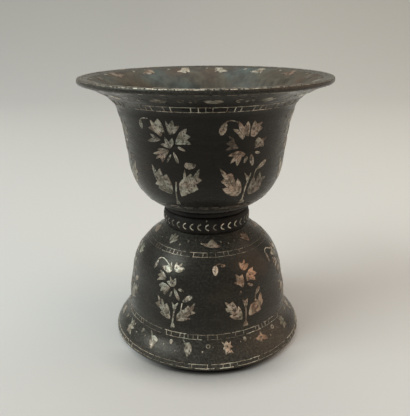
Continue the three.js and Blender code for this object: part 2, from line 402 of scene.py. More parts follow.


# %% [markdown]
# ## Blackened alloy
# The paste that blackens the zinc leaves a satin skin, brown where it is thin and paler where it is rubbed.
# Dust stays on the lip, the shoulder and the flare of the foot, and along the top of the lip and the bottom
# of the flare the same pale colour also paints a highlight. It could be painted by hand, but a ramp over the
# height is enough, as the cup is round. Fine bands left by the lathe go into the bump, not the colour.

# %% Blackened alloy, outside
rubbed_alloy = (0.026, 0.022, 0.018)
dust_and_highlight_colour = (0.15, 0.145, 0.122)
blackened, shader = new_finish("blackened_alloy", roughness=0.4, metallic=0.0, specular=0.27, sheen=0.14)
shader.inputs["Specular Tint"].default_value = (1.0, 0.94, 0.84, 1)
black = ramp(
    blackened, noise(blackened, 22, 6),
    (0.36, (0.002, 0.002, 0.0021)), (0.52, (0.0042, 0.0033, 0.0024)), (0.68, (0.019, 0.0125, 0.008)),
)
rubs = ramp(blackened, noise(blackened, 130, 6, (1, 1, 5)), (0.54, grey(0)), (0.74, grey(0.5)))
black = blended(blackened, rubs, black, rubbed_alloy)
height_share = ranged(blackened, place_along(blackened, "Z"), 0.0, cup_height * MM)
# Dust by height. At the bottom of the flare and the top of the lip, the pale bands are also a painted
# highlight.
dust_and_highlight_zones = ramp(
    blackened, height_share,
    (0.0, grey(1.0)), (0.04, grey(0.62)), (0.115, grey(0.46)), (0.15, grey(0.21)), (0.37, grey(0.27)),
    (0.4, grey(0.5)), (0.45, grey(0.42)), (0.5, grey(0.0)), (0.57, grey(0.01)), (0.61, grey(0.1)),
    (0.72, grey(0.03)), (0.93, grey(0.02)), (0.975, grey(0.06)), (1.0, grey(0.85)),
)
specks = ramp(blackened, noise(blackened, 1100, 3), (0.44, grey(0.22)), (0.68, grey(0.65)))
dust_and_highlight = multiplied(blackened, specks, dust_and_highlight_zones)
black = blended(blackened, dust_and_highlight, black, dust_and_highlight_colour)
scratched = noise(blackened, 150, 5, (1, 1, 7))
gloss = ramp(blackened, scratched, (0.32, grey(0.2)), (0.68, grey(0.42)))
turned_lines = noise(blackened, 1500, 2, (0.02, 0.02, 1))
tooth = blended(blackened, 0.3, noise(blackened, 500, 5), turned_lines)
use(blackened, shader, Base_Color=black, Roughness=gloss, Normal=bump(blackened, tooth, 0.4, 0.0002))

# %% [markdown]
# ## Darker alloy on the neck
# The rings of the neck sit in the shade under the bowl, and their alloy is darker, duller and without dust: a
# painted shade. It is a finish of its own, because one finish for both would need a mask for the neck.

# %% Alloy darkened with painted shade, on the rings of the neck
shaded_neck, shader = new_finish("shaded_neck_alloy", roughness=0.6, metallic=0.0, specular=0.22)
neck_shade_colour = ramp(shaded_neck, noise(shaded_neck, 120, 5), (0.36, (0.0035, 0.003, 0.0026)), (0.68, (0.016, 0.013, 0.01)))
use(shaded_neck, shader, Base_Color=neck_shade_colour, Normal=bump(shaded_neck, noise(shaded_neck, 500, 5), 0.4, 0.0002))

# %% [markdown]
# ## Patina
# The inside of the bowl is stained brown and bluish green in patches some centimetres wide, with patches of
# rust red among them. Stains run down it, so the noise for them is drawn out along Z.

# %% Patina, inside the bowl
rust_red = (0.085, 0.048, 0.028)
patina, shader = new_finish("bowl_patina", roughness=0.55, metallic=0.0, specular=0.4)
greenish = ramp(
    patina, noise(patina, 30, 6),
    (0.38, (0.075, 0.058, 0.038)), (0.5, (0.09, 0.082, 0.06)), (0.62, (0.08, 0.1, 0.09)),
)
rust = ramp(patina, noise(patina, 34, 6, (1, 1, 0.6)), (0.5, grey(0)), (0.64, grey(0.8)))
mottled = blended(patina, rust, greenish, rust_red)
streaks = noise(patina, 240, 5, (1, 1, 0.35))
stains = ramp(patina, streaks, (0.36, grey(0.55)), (0.62, grey(1.2)))
use(
    patina, shader, Base_Color=multiplied(patina, mottled, stains),
    Roughness=ramp(patina, streaks, (0.3, grey(0.42)), (0.7, grey(0.66))),
    Normal=bump(patina, streaks, 0.3, 0.0003),
)

# %% [markdown]
# ## Bare alloy
# Inside the foot and underneath, the casting was left as it came from the mould: dull, grey and blotchy. A
# flat grey would do where nobody looks, but a cup gets turned over, so two noises give blotches and grain.

# %% Bare alloy, underneath
bare, shader = new_finish("bare_alloy", roughness=0.5, metallic=0.35)
casting_grey = ramp(bare, noise(bare, 60, 6), (0.3, (0.05, 0.048, 0.043)), (0.7, (0.13, 0.125, 0.112)))
use(bare, shader, Base_Color=casting_grey, Normal=bump(bare, noise(bare, 300, 4), 0.25, 0.0003))

# %% [markdown]
# ## Silver
# Sheet silver is engraved after it is laid, and the black paste stays in the lines and round the edge. The
# veins could be modelled, but they are some 0.3 mm wide and hardly deep, so the material draws them. For
# that, each sheet carries marks: its place (along and across it in millimetres, and a share that is 0 at its
# heart and 1 at its edge), its tone from dark to pale, and its warmth from greenish to copper red. A tone
# near 1 is silver that hands keep polished, and on some pieces a painted highlight: pale, with little tarnish
# or warmth. On the plant at the front right of the foot, the warmth is partly a painted warm reflection.

# %% Tarnished silver
vein_slant = -0.9
vein_spacing = 1.3


def silver_finish(name, pale, tarnished, dark, veined):
    """Silver that is cloudy between pale and tarnished, and dark in its spots and engraved lines. The veins
    are the sine of (along + vein_slant x |across|) x 2 pi / vein_spacing, so they fold at the midrib like a
    fishbone, and the midrib is where |across| is near 0. Tone, tint and warmth multiply the colour."""
    finish, shader = new_finish(name, roughness=0.4, metallic=0.4, specular=0.6)
    tone = node(finish, "ShaderNodeAttribute", attribute_name="tone").outputs["Fac"]
    cloud = noise(finish, 330, 6)
    # Where the tone passes 0.85 the silver turns pale: polish, and on some pieces a painted highlight.
    polish_and_highlight = ramp(finish, tone, (0.85, grey(0)), (1.0, grey(0.7)))
    colour = blended(finish, polish_and_highlight, ramp(finish, cloud, (0.4, tarnished), (0.6, pale)), pale)
    if veined:
        place = node(finish, "ShaderNodeAttribute", attribute_name="place")
        parts = node(finish, "ShaderNodeSeparateXYZ", {"Vector": place.outputs["Vector"]})
        across = maths(finish, "ABSOLUTE", parts.outputs["Y"])
        chevron = maths(finish, "ADD", parts.outputs["X"], maths(finish, "MULTIPLY", across, vein_slant))
        wave = maths(finish, "SINE", maths(finish, "MULTIPLY", chevron, 2 * math.pi / vein_spacing))
        veins = ramp(finish, wave, (0.66, grey(0)), (0.95, grey(0.85)))
        midrib = ramp(finish, across, (0.1, grey(0.85)), (0.24, grey(0)))
        cuts = blended(finish, 1.0, veins, midrib, "LIGHTEN")
        filled = ramp(finish, noise(finish, 420, 3), (0.42, grey(0.15)), (0.58, grey(1)))
        inner = ramp(finish, parts.outputs["Z"], (0.78, grey(1)), (0.92, grey(0)))
        engraved = multiplied(finish, multiplied(finish, cuts, filled), inner)
        colour = blended(finish, engraved, colour, dark)
        paste = ramp(finish, parts.outputs["Z"], (0.9, grey(0)), (1.0, grey(0.35)))
        colour = blended(finish, paste, colour, dark)
    spots = ramp(finish, noise(finish, 800, 3), (0.36, grey(0.85)), (0.47, grey(0)))
    colour = blended(finish, spots, colour, dark)
    shade = ramp(finish, tone, (0.0, grey(0.22)), (0.5, grey(0.62)), (1.0, grey(1.0)))
    colour = multiplied(finish, colour, shade)
    tint = ramp(
        finish, noise(finish, 230, 3),
        (0.38, (0.94, 1.0, 0.93)), (0.5, (1.0, 0.98, 0.91)), (0.64, (1.0, 0.88, 0.8)))
    colour = multiplied(finish, colour, tint)
    warmth = node(finish, "ShaderNodeAttribute", attribute_name="warmth").outputs["Fac"]
    warm = ramp(finish, warmth, (0.0, (0.94, 1.0, 0.97)), (0.5, (1.0, 1.0, 1.0)), (1.0, (1.0, 0.66, 0.52)))
    warm = blended(finish, polish_and_highlight, warm, grey(1.0))
    use(
        finish, shader, Base_Color=multiplied(finish, colour, warm),
        Roughness=ramp(finish, cloud, (0.3, grey(0.5)), (0.7, grey(0.32))),
        Normal=bump(finish, noise(finish, 900, 2), 0.15, 0.0001),
    )
    return finish


sheet_silver = silver_finish(
    "sheet_silver", pale=(0.78, 0.74, 0.65), tarnished=(0.27, 0.235, 0.18), dark=(0.025, 0.02, 0.015),
    veined=True)
wire_silver = silver_finish(
    "wire_silver", pale=(0.84, 0.79, 0.69), tarnished=(0.38, 0.33, 0.26), dark=(0.07, 0.06, 0.045),
    veined=False)

# %% [markdown]
# ## The castings
# The bowl and the foot are each one closed skin. The outline runs up the outside, over the lip, down the
# inside and back along the spigot, and 240 steps round the axis keep the rim smooth in a close view. The
# inside of the bowl has its own finish, so its faces get the second material.

# %% Turn the castings
steps_round = 240


def closed_turning(stretches):
    """A tyre of points: each stretch of outline is turned through whole circles, with a slot per stretch."""
    angle = np.linspace(0, 2 * np.pi, steps_round, endpoint=False)
    rings, slots = [], []
    for outline, slot in stretches:
        length = outline["length"][:, None]
        rings.append(turned(outline, angle[None, :], length, 0.0))
        slots += [slot] * len(length)
    points = np.concatenate(rings).reshape(-1, 3)
    rows = len(slots)
    faces = outward(points, [tyre_faces(rows, steps_round)])
    return {"points": points, "faces": faces, "slots": np.repeat(np.array(slots, np.int32), steps_round)}


def straight(*points):
    """An outline through a few corners, with a point about every 2 mm."""
    parts = []
    for start, end in zip(points[:-1], points[1:]):
        count = max(2, int(math.dist(start, end) / 2) + 1)
        parts.append(np.linspace(start, end, count))
    return turning(chain(*parts))


spigot_end = 51.5
spigot = straight((12.2, 71.8), (12.2, spigot_end), (15.4, spigot_end), (15.4, 68.8), (21.0, 68.85))
bowl_skin = closed_turning([(bowl_outside, 0), (lip_inside, 0), (bowl_inside, 1), (spigot, 1)])
make_piece("bowl_casting", [bowl_skin], [blackened, patina], ["bowl"])
foot_floor = straight((42.4, 0), (46.7, 0))
foot_skin = closed_turning([(foot_outside, 0), (straight((20.6, 57.9), (15.8, 57.9)), 0), (foot_inside, 1),
                            (foot_floor, 1)])
make_piece("foot_casting", [foot_skin], [blackened, bare], ["foot_bell"])

# %% [markdown]
# ## The rings of the neck
# Two rings are threaded on the bowl's spigot. The upper one is a plain rounded collar. The lower one is a
# smaller bead that carries silver crescents.

# %% Turn the rings
collar_outside = turning(chain(
    curve((20.3, 66.15), (21.2, 66.3), (21.3, 66.8), (21.3, 67.4), 10),
    curve((21.3, 67.4), (21.3, 68.2), (21.2, 68.6), (20.6, 68.8), 10),
))
bead_outside = turning(chain(
    curve((20.9, 57.95), (21.7, 58.2), (22.0, 59.6), (22.0, 61.6), 14),
    curve((22.0, 61.6), (22.0, 64.0), (21.6, 65.7), (20.6, 66.05), 14),
))
ring_bore = 15.7
collar_bore = straight((20.5, 68.85), (ring_bore, 68.85), (ring_bore, 66.15), (20.2, 66.15))
bead_bore = straight((20.5, 66.05), (ring_bore, 66.05), (ring_bore, 57.95), (20.8, 57.95))
# Both rings take the alloy that is darkened as a painted shade.
collar_skin = closed_turning([(collar_outside, 0), (collar_bore, 0)])
make_piece("neck_collar_turning", [collar_skin], [shaded_neck], ["neck_collar"])
bead_skin = closed_turning([(bead_outside, 0), (bead_bore, 0)])
make_piece("bead_ring_turning", [bead_skin], [shaded_neck], ["bead_ring"])

# %% [markdown]
# ## The closing plate
# A thin disc closes the foot from below. It is a skin with a pole at the middle of each side.


# %% The closing plate
def closed_disc(outline):
    """An outline that starts and ends near the axis, turned, with a pole at each end."""
    angle = np.linspace(0, 2 * np.pi, steps_round, endpoint=False)
    rings = turned(outline, angle[None, :], outline["length"][:, None], 0.0)
    poles = [(0, 0, outline["points"][end, 1]) for end in (0, -1)]
    points = np.vstack([rings.reshape(-1, 3), poles])
    return {"points": points, "faces": outward(points, list(skin_faces(len(rings), steps_round)))}


plate_outline = straight((2, 2.2), (41.4, 2.2), (42, 2.5), (42, 3.5), (41.7, 3.8), (2, 3.8))
make_piece("closing_plate", [closed_disc(plate_outline)], [bare], ["base_plate"])

# %% [markdown]
# ## Sheets of silver
# A petal or leaf is cut from sheet with a chisel, so its outline is a chain of short bowed sides between
# sharp tips and notches. The sheet is that outline shrunk in rings towards its heart, a little proud in
# the middle, with an edge that goes down into the metal.


# %% Silver sheets and wires on the flat
def counter_clockwise(corners):
    """The corners in counter-clockwise order. They are the other way round where the sum of x times the next
    y, less y times the next x, is negative."""
    after = np.roll(corners, -1, axis=0)
    area = (corners[:, 0] * after[:, 1] - corners[:, 1] * after[:, 0]).sum()
    return corners if area > 0 else corners[::-1]


def heart_of(corners):
    """The point that lies furthest inside all the sides at once, out of a 60 x 60 grid of candidates, for
    corners that run counter-clockwise. Rings that shrink towards a point inside all the sides never cross."""
    side = np.roll(corners, -1, axis=0) - corners
    inward = np.stack([-side[:, 1], side[:, 0]], -1) / np.linalg.norm(side, axis=1, keepdims=True)
    across, up = (np.linspace(corners[:, k].min(), corners[:, k].max(), 60) for k in (0, 1))
    tried = np.stack(np.meshgrid(across, up), -1).reshape(-1, 1, 2)
    depth = ((tried - corners) * inward).sum(axis=-1).min(axis=1)
    return tried[depth.argmax(), 0]


def bowed(corners, bow, steps=4):
    """A closed outline: each side is a straight line plus bow x length x 4t(1-t), outwards."""
    after = np.roll(corners, -1, axis=0)
    t = np.arange(steps)[None, :, None] / steps
    side = (after - corners)[:, None, :]
    outer = np.stack([side[..., 1], -side[..., 0]], -1)
    swell = bow * 4 * t * (1 - t)
    return (corners[:, None, :] + t * side + swell * outer).reshape(-1, 2)


def drop(base, tip, width):
    """A drop or bud: across it is width x sin(turn) x (0.7 + 0.3 x share of the way to the tip)."""
    base, tip = np.array(base, float), np.array(tip, float)
    turn = np.linspace(0, 2 * np.pi, 16, endpoint=False)
    along = 0.5 - 0.5 * np.cos(turn)
    axis = tip - base
    across = np.array([-axis[1], axis[0]]) / np.linalg.norm(axis)
    spread = width / 2 * np.sin(turn) * (0.7 + 0.3 * along)
    return base + along[:, None] * axis + spread[:, None] * across


# The rings of a sheet: their shares of the way to the edge, and their lifts in mm. The last is buried.
sheet_shares = np.array([0.38, 0.72, 0.94, 1.0, 1.0])
sheet_lifts = np.array([0.15, 0.15, 0.12, 0.05, -0.5])


def sheet_of(corners, place, tone, warmth, bow=0.05, plain=0.0):
    """A closed skin from a flat outline: rings at shares of the way from the heart, each with its lift.
    The first corner is the base, where the sheet's veins start, and place turns flat points and a lift
    into points on the casting. plain is the share of the way to the edge that is left without veins."""
    base = np.array(corners[0], float)
    corners = counter_clockwise(np.array(corners, float))
    heart = heart_of(corners)
    outline = bowed(corners, bow)
    rings = heart + sheet_shares[:, None, None] * (outline - heart)[None, :, :]
    rows, columns = rings.shape[:2]
    lifts = np.broadcast_to(sheet_lifts[:, None], (rows, columns))
    poles = place(np.array([heart, heart]), np.array([sheet_lifts[0], sheet_lifts[-1]]))
    points = np.vstack([place(rings, lifts).reshape(-1, 3), poles])
    axis = heart - base
    axis /= np.linalg.norm(axis)
    flat = np.vstack([rings.reshape(-1, 2), heart, heart]) - base
    share = plain + (1 - plain) * np.append(np.repeat(sheet_shares, columns), [0, 0])
    marks = np.column_stack([flat @ axis, flat @ np.array([-axis[1], axis[0]]), share])
    return {
        "points": points, "faces": outward(points, list(skin_faces(rows, columns))),
        "marks": {"place": marks, "tone": np.full(len(points), tone), "warmth": np.full(len(points), warmth)},
    }


# A wire's place marks fall where neither a vein nor the midrib shows. Each point of its section is a share
# of its width and a lift in mm. A neutral warmth is neither greenish nor red.
between_veins = (0.0, 0.36, 0.8)
neutral_warmth = 0.5
wire_section = np.array([(-0.5, -0.5), (-0.5, 0.04), (-0.25, 0.12), (0.25, 0.12), (0.5, 0.04), (0.5, -0.5)])


def wire_of(path, width, place, tone, warmth):
    """A closed skin along a flat path: the wire's section, carried square to the path."""
    path = np.array(path, float)
    tangent = np.gradient(path, axis=0)
    tangent /= np.linalg.norm(tangent, axis=1, keepdims=True)
    square = np.stack([tangent[:, 1], -tangent[:, 0]], -1)
    flat = path[:, None, :] + width * wire_section[None, :, :1] * square[:, None, :]
    rows, columns = flat.shape[:2]
    lifts = np.broadcast_to(wire_section[None, :, 1], (rows, columns))
    poles = place(path[[0, -1]], np.array([-0.1, -0.1]))
    points = np.vstack([place(flat, lifts).reshape(-1, 3), poles])
    marks = np.tile(between_veins, (len(points), 1))
    return {
        "points": points, "faces": outward(points, list(skin_faces(rows, columns))),
        "marks": {"place": marks, "tone": np.full(len(points), tone), "warmth": np.full(len(points), warmth)},
    }


def smooth_path(points, steps=14):
    """A path near a few points: each coordinate is the polynomial in the running length that fits them best,
    a cubic, or a parabola through three points."""
    points = np.array(points, float)
    length = np.append(0, np.cumsum(np.hypot(*np.diff(points, axis=0).T)))
    at = np.linspace(0, length[-1], steps)
    fitted = [np.polyval(np.polyfit(length, points[:, k], min(3, len(points) - 1)), at) for k in (0, 1)]
    return np.stack(fitted, -1)


# %% [markdown]
# ## The flowering plants
# Seven plants stand round the bowl and seven round the foot. Each was cut by hand, so no two are alike.
# Two drawings for the bowl and two for the foot, in millimetres across and up from the root, are taken
# in turn round the vessel. One drawing for all would be shorter, but the eye finds a repeat at once. A sheet
# is its corners, with its base first. A drop is its two ends, its width and its own step of tone. The first
# wire is the stem and the rest are tendrils, with steps of tone of their own. The shades are each sheet's
# steps of tone and of warmth, because petals age differently.

# %% Drawings of the plants
bowl_drawing_a = {
    "sheets": [
        [(-5, 33.1), (-7.8, 34.9), (-10.7, 36.6), (-8.8, 37.7), (-9, 40.4), (-7, 39.2), (-5.1, 41.3),
         (-3.7, 39.2), (-3, 34.7), (-3.9, 35.5)],
        [(-0.9, 34.5), (-1.7, 37.6), (-1.7, 40.7), (-0.6, 38.7), (1.4, 41.1), (1.8, 38.1), (4, 38.6),
         (2.9, 36.7), (1.1, 34.7)],
        [(1.5, 30.2), (2.3, 33.2), (4.5, 36.4), (6.9, 37.5), (6.2, 35.1), (8.2, 33.8), (6.5, 32.5),
         (8.4, 30.5), (5, 30.3)],
        [(-5.4, 31.6), (-7.8, 33.1), (-10.7, 33.9), (-9.2, 32.2), (-12.8, 30.4), (-8.9, 30.3)],
        [(-1.1, 28.2), (-3.6, 28.6), (-5.8, 29.7), (-3.2, 30.1), (-3.4, 33.2), (-1.6, 31), (0.3, 32.9),
         (0.7, 30.4)],
        [(-1.8, 27.3), (-5.1, 27.8), (-7.7, 27.4), (-7.1, 26.3), (-10.4, 25), (-7.7, 24.7), (-9.1, 22.7),
         (-6.6, 23.6), (-5.7, 21.4), (-3.8, 23.9)],
        [(-3, 6.1), (-6.6, 7.2), (-10.2, 8.4), (-9.1, 9.9), (-11.6, 10.4), (-9.9, 12.1), (-11.1, 14.8),
         (-12, 19.9), (-9.5, 16.4), (-7.4, 18.6), (-6.2, 14.8), (-4.2, 16.2), (-2.4, 13.2), (-1.8, 8.3)],
        [(2.1, 5.5), (1.7, 8.8), (1.8, 12.2), (4.1, 14.8), (4.9, 19.1), (5.4, 15.3), (7.6, 17.3),
         (8.7, 15.7), (11.5, 19.5), (11, 15.5), (12.6, 14.3), (9.6, 12.3), (10.8, 9.8), (6.8, 7.7)],
        [(6.9, 19.1), (9.2, 19.9), (10.2, 21.4), (8.4, 22), (7, 22.1), (5.7, 22.2), (4.7, 21), (5.4, 19.8)],
        [(-0.8, 3.4), (0.5, 0.2), (-2.1, 0.2)],
    ],
    "shades": [(0.1, 0.08), (0, -0.05), (0, -0.12), (-0.15, 0), (0, 0), (-0.05, 0.15), (0, 0.02),
               (-0.02, 0.04), (-0.12, 0.15), (-0.1, 0)],
    "drops": [
        ((-3.5, 21.5), (-1, 25.4), 1.1, 0.1),
        ((0.2, 26.7), (2.2, 21.7), 1.7, 0.1),
        ((5.7, 27.4), (2.4, 29), 1.5, 0),
        ((-14.8, 35.6), (-14.3, 39.9), 2.3, -0.15),
    ],
    "stem_paler": 0.0,
    "tendrils_paler": 0.1,
    "wires": [
        [(0.5, 13), (0, 9.6), (-0.6, 5.2), (-0.8, 1.6)],
        [(-14.2, 40), (-13.4, 40.6), (-11.9, 40.9), (-10, 41)],
    ],
}
bowl_drawing_b = {
    "sheets": [
        [(-4.2, 31.9), (-6.8, 34.6), (-9.2, 37), (-6.2, 36.4), (-7, 40.4), (-4.3, 37.5), (-2.8, 40.1),
         (-1.5, 37.8), (-1.6, 33.1), (-3.3, 33.9)],
        [(1.5, 32.5), (-0.5, 33.1), (-0.7, 37.2), (0.3, 40.2), (1.6, 38.4), (4.6, 39), (3.5, 37.5),
         (5.2, 36.2), (3.7, 34.6)],
        [(2.4, 27.3), (2.2, 30.4), (3.6, 32.1), (5.9, 30.8), (8.9, 31.5), (7, 29.7), (7.6, 27.5),
         (4.9, 27.8)],
        [(-5.8, 28.3), (-7.7, 30.4), (-8.5, 32.8), (-10.7, 33.9), (-9.5, 31.9), (-11.4, 30.6),
         (-9.6, 29.5), (-11.7, 27.7), (-8.5, 27.9)],
        [(-2.2, 25.2), (-5.1, 26.8), (-8.1, 26.6), (-10.4, 25.1), (-7.8, 24.6), (-9.4, 21.5), (-7, 22.9),
         (-6.2, 20.1), (-5, 21.7), (-4.2, 23.9)],
        [(-3.8, 5.1), (-7.4, 5.6), (-10.7, 7.6), (-12.5, 10.1), (-9.9, 10.3), (-11.6, 12), (-13.4, 13.5),
         (-11.8, 14.8), (-14.1, 19.8), (-10.7, 16.6), (-8.3, 17.1), (-7.1, 14.4), (-6.2, 12.1),
         (-5.4, 14.4), (-3.4, 11.6), (-2.6, 7.2)],
        [(2.7, 4.8), (1, 6.6), (1.6, 10.4), (3.2, 14.4), (4.9, 11.6), (6.9, 16), (8.1, 12.8), (11.4, 13),
         (8.9, 10), (9.5, 7.2), (7.8, 5.9)],
        [(-0.5, 12.5), (-1.2, 14.4), (-2.2, 16.9), (-0.6, 15.1), (0.8, 14.8), (1.5, 16.5), (1.1, 14.3),
         (0.2, 12.4)],
        [(-0.6, 3.4), (1.6, -0.1), (-3, -0.1)],
    ],
    "shades": [(0.05, 0.08), (-0.16, 0.12), (-0.25, 0), (-0.25, 0), (0.05, 0.08), (0.08, 0.08), (-0.22, 0),
               (0.12, 0), (0, 0)],
    "drops": [
        ((-2.7, 21.2), (-1.4, 24.2), 1.9, 0),
        ((2, 19.2), (0.6, 24.8), 2.6, 0),
        ((5.8, 24.8), (2.6, 25.5), 1.4, 0.1),
        ((4.6, 17.4), (10.4, 20.8), 2.6, -0.1),
        ((-12.2, 40.1), (-13.9, 34.4), 3.5, 0.4),
    ],
    "stem_paler": 0.0,
    "tendrils_paler": -0.05,
    "wires": [
        [(0.2, 12.6), (-0.6, 9.2), (-0.8, 5.6), (-0.6, 1.6)],
        [(-12.4, 39.8), (-11.5, 40.6), (-9.7, 40.8), (-7.4, 40)],
        [(4.6, 17.6), (3.8, 16), (3.3, 13.4)],
    ],
}
foot_drawing_a = {
    "sheets": [
        [(-4, 26.2), (-7, 26.8), (-9.4, 28.4), (-6.8, 29.2), (-4.2, 30.2), (-4.2, 31.9), (-3.1, 30),
         (-2.3, 27.6)],
        [(-0.4, 27.6), (-1.4, 28.8), (-1.5, 30.5), (-0.5, 32.5), (0.4, 30.4), (2.9, 32.1), (2.5, 30),
         (5.1, 29.8), (3.6, 28.1), (1.3, 27.2)],
        [(-4.9, 23.8), (-7.1, 25.8), (-10, 26.5), (-9, 25), (-11.2, 24), (-9.2, 23.2), (-10.8, 21.2),
         (-8, 22.1), (-5.6, 22.6)],
        [(-1.5, 20.2), (-3.3, 21.2), (-4.4, 22.2), (-2.4, 22.8), (-2.8, 24.8), (-0.9, 23.2), (0.7, 24.5),
         (1.2, 22), (0.3, 20.6)],
        [(-1.9, 19.6), (-4.9, 20.9), (-7.3, 20.9), (-9, 19.2), (-7.4, 18.5), (-7.7, 16.4), (-6.2, 17.2),
         (-5.3, 15.2), (-3.6, 16.8)],
        [(-1.2, 4), (-4.9, 4.6), (-7, 5.9), (-5.7, 7.4), (-7.7, 8.3), (-10.4, 9.7), (-8.3, 11.2),
         (-9.4, 14.2), (-7.4, 12.5), (-6, 12.8), (-4.9, 10.4), (-3.2, 11.4), (-1.9, 9.2), (-1.1, 6)],
        [(2.2, 4.1), (2.4, 7.1), (4.6, 9.6), (6, 10), (7.9, 12.3), (8.8, 11.2), (11.3, 13.8),
         (10.8, 11.2), (9.8, 10), (11.6, 9), (9.2, 8), (7.2, 6.4), (9.3, 6), (7.2, 5), (3.9, 4)],
        [(0.7, 8.4), (0, 10.4), (-0.7, 12.8), (0.8, 11.4), (2.8, 13.1), (2, 10.8), (1.2, 8.4)],
        [(0.3, 3.2), (1.3, 0.2), (-1.1, -0.4)],
    ],
    "shades": [(0.16, -0.08), (0.26, -0.1), (-0.02, -0.05), (-0.06, -0.1), (-0.1, 0), (-0.05, 0),
               (-0.05, 0.12), (0, 0), (-0.05, -0.1)],
    "drops": [
        ((0.3, 19.7), (3.2, 14), 2.1, -0.05),
        ((-2, 15.1), (-0.8, 18), 1.2, 0),
        ((5.6, 18.9), (2.5, 19.6), 1.6, 0.1),
        ((5.1, 13.8), (9.8, 17), 2.8, 0.3),
        ((-14.4, 26), (-13.8, 30.6), 2.2, -0.2),
    ],
    "stem_paler": -0.1,
    "tendrils_paler": 0.35,
    "wires": [
        [(0.9, 8.5), (0.6, 6), (0.3, 4), (0.1, 1.6)],
        [(-14, 30.8), (-13.3, 31.8), (-10.9, 32.2), (-8.3, 31.6), (-6.4, 30.8), (-4.8, 29.8)],
        [(4.8, 13), (4.5, 11.2), (4.4, 9.4)],
    ],
}
foot_drawing_b = {
    "sheets": [
        [(1, 27.6), (-0.2, 29.2), (0.3, 31.7), (2.1, 30.6), (4.4, 32.4), (4.1, 30.4), (6.1, 29.6),
         (4.4, 28), (2.5, 27.2)],
        [(2.6, 22), (2.5, 24.8), (4.9, 27), (8.2, 27.7), (7.3, 26), (9.8, 24.6), (7.4, 23.6),
         (7.9, 21.4), (4.9, 22.2)],
        [(-0.2, 19.6), (-1.9, 20.8), (-4.9, 22.5), (-3.1, 22.9), (-3.4, 26.3), (-1.4, 24.9), (0.6, 25.6),
         (0.9, 23.2), (0.7, 21.2)],
        [(-1.8, 4), (-5.5, 4.6), (-8.2, 6.8), (-6.2, 7.6), (-9.5, 9.2), (-10, 10.8), (-8.5, 10.8),
         (-10.3, 14), (-7.8, 12.6), (-6.2, 13.7), (-4.6, 11.2), (-4, 8.9), (-3.4, 10.9), (-2.1, 8.8),
         (-1.5, 6)],
        [(2.5, 4.8), (1.8, 6), (3.3, 10), (5.8, 10.8), (6.4, 12.4), (8.1, 11.2), (10.1, 14.6),
         (11.1, 12.8), (10.6, 11.2), (11.4, 10), (10.1, 8), (9, 7.4), (9.4, 6), (6.2, 5.2)],
        [(0.2, 9.5), (-0.5, 11.7), (-1, 14), (0.4, 12.7), (2.1, 13.7), (1.7, 11.2), (1, 9.5)],
        [(0, 3.5), (1.5, 0.1), (-1.4, 0.1)],
    ],
    "shades": [(-0.06, 0.15), (-0.08, 0.12), (-0.05, 0.02), (0.04, -0.15), (0, 0), (-0.3, 0), (0, -0.05)],
    "drops": [
        ((2.6, 20.8), (5.8, 19.2), 1.6, 0.1),
        ((-2.3, 15.8), (-1.4, 18.1), 1.2, 0),
        ((7, 14.4), (9.7, 17.6), 2.3, 0),
        # This bud's step of tone takes it past 1, into the painted highlight.
        ((-14.4, 26.7), (-14, 31.4), 3.6, 0.8),
        ((-11, 30.8), (-8.2, 31.2), 1.4, 0),
    ],
    "stem_paler": -0.35,
    "tendrils_paler": -0.5,
    "wires": [
        [(0.6, 9.4), (0.4, 6.4), (0.2, 4), (0, 1.6)],
        [(-13.8, 31.1), (-12.7, 31.9), (-10.9, 32), (-8.4, 30.8)],
        [(7, 14.7), (6.7, 13.6), (6.5, 12.3)],
    ],
}
for name, drawing in (("bowl a", bowl_drawing_a), ("bowl b", bowl_drawing_b),
                      ("foot a", foot_drawing_a), ("foot b", foot_drawing_b)):
    print("drawing", name, "has", len(drawing["sheets"]), "sheets and", len(drawing["drops"]), "drops")

# %% Cut the plants
chance = np.random.default_rng(11)
stem_width = 0.75
tendril_width = 0.45
thin_wire_paler = 0.1


def plant(drawing, place, tone, warmth):
    """All the silver of one plant. Every sheet gets its own step of tone and warmth from the plant's."""
    skins = []
    for corners, (paler, redder) in zip(drawing["sheets"], drawing["shades"]):
        shade = tone + paler + chance.uniform(-0.08, 0.08)
        skins.append(sheet_of(corners, place, shade, warmth + redder))
    for base, tip, width, paler in drawing["drops"]:
        shade = tone + paler + chance.uniform(-0.1, 0.1)
        skins.append(sheet_of(drop(base, tip, width), place, shade, warmth, 0.0, 0.5))
    stem, *tendrils = drawing["wires"]
    skins.append(wire_of(smooth_path(stem), stem_width, place, tone + drawing["stem_paler"], warmth))
    shade = tone + thin_wire_paler + drawing["tendrils_paler"]
    for path in tendrils:
        skins.append(wire_of(smooth_path(path), tendril_width, place, shade, warmth))
    return skins


plant_count = 7
even_angles = 360 / plant_count * np.arange(plant_count)
bowl_radius = 39.7
foot_radius = 40.9
bowl_plants = {
    "outline": bowl_outside, "radius": bowl_radius, "root": length_at(bowl_outside, 76.8),
    "angles": 29.1 + even_angles + np.array([-0.3, 0.4, -0.5, 0.6, -0.4, 0.3, 1.3]),
    "drawings": [bowl_drawing_b, bowl_drawing_a],
    "tones": [0.46, 0.38, 0.5, 0.4, 0.48, 0.3, 0.4],
    "warmths": [0.62, 0.4, 0.5, 0.45, 0.5, 0.4, 0.5],
}
foot_plants = {
    "outline": foot_outside, "radius": foot_radius, "root": length_at(foot_outside, 17.4),
    "angles": 26.4 + even_angles + np.array([-0.1, 0.5, -0.4, 0.3, -0.6, 0.4, 1.0]),
    "drawings": [foot_drawing_b, foot_drawing_a],
    "tones": [0.56, 0.5, 0.52, 0.6, 0.48, 0.4, 0.5],
    # The first plant, at the front right, is warmest: copper tarnish and partly a painted warm reflection.
    "warmths": [0.8, 0.6, 0.5, 0.45, 0.5, 0.4, 0.48],
}
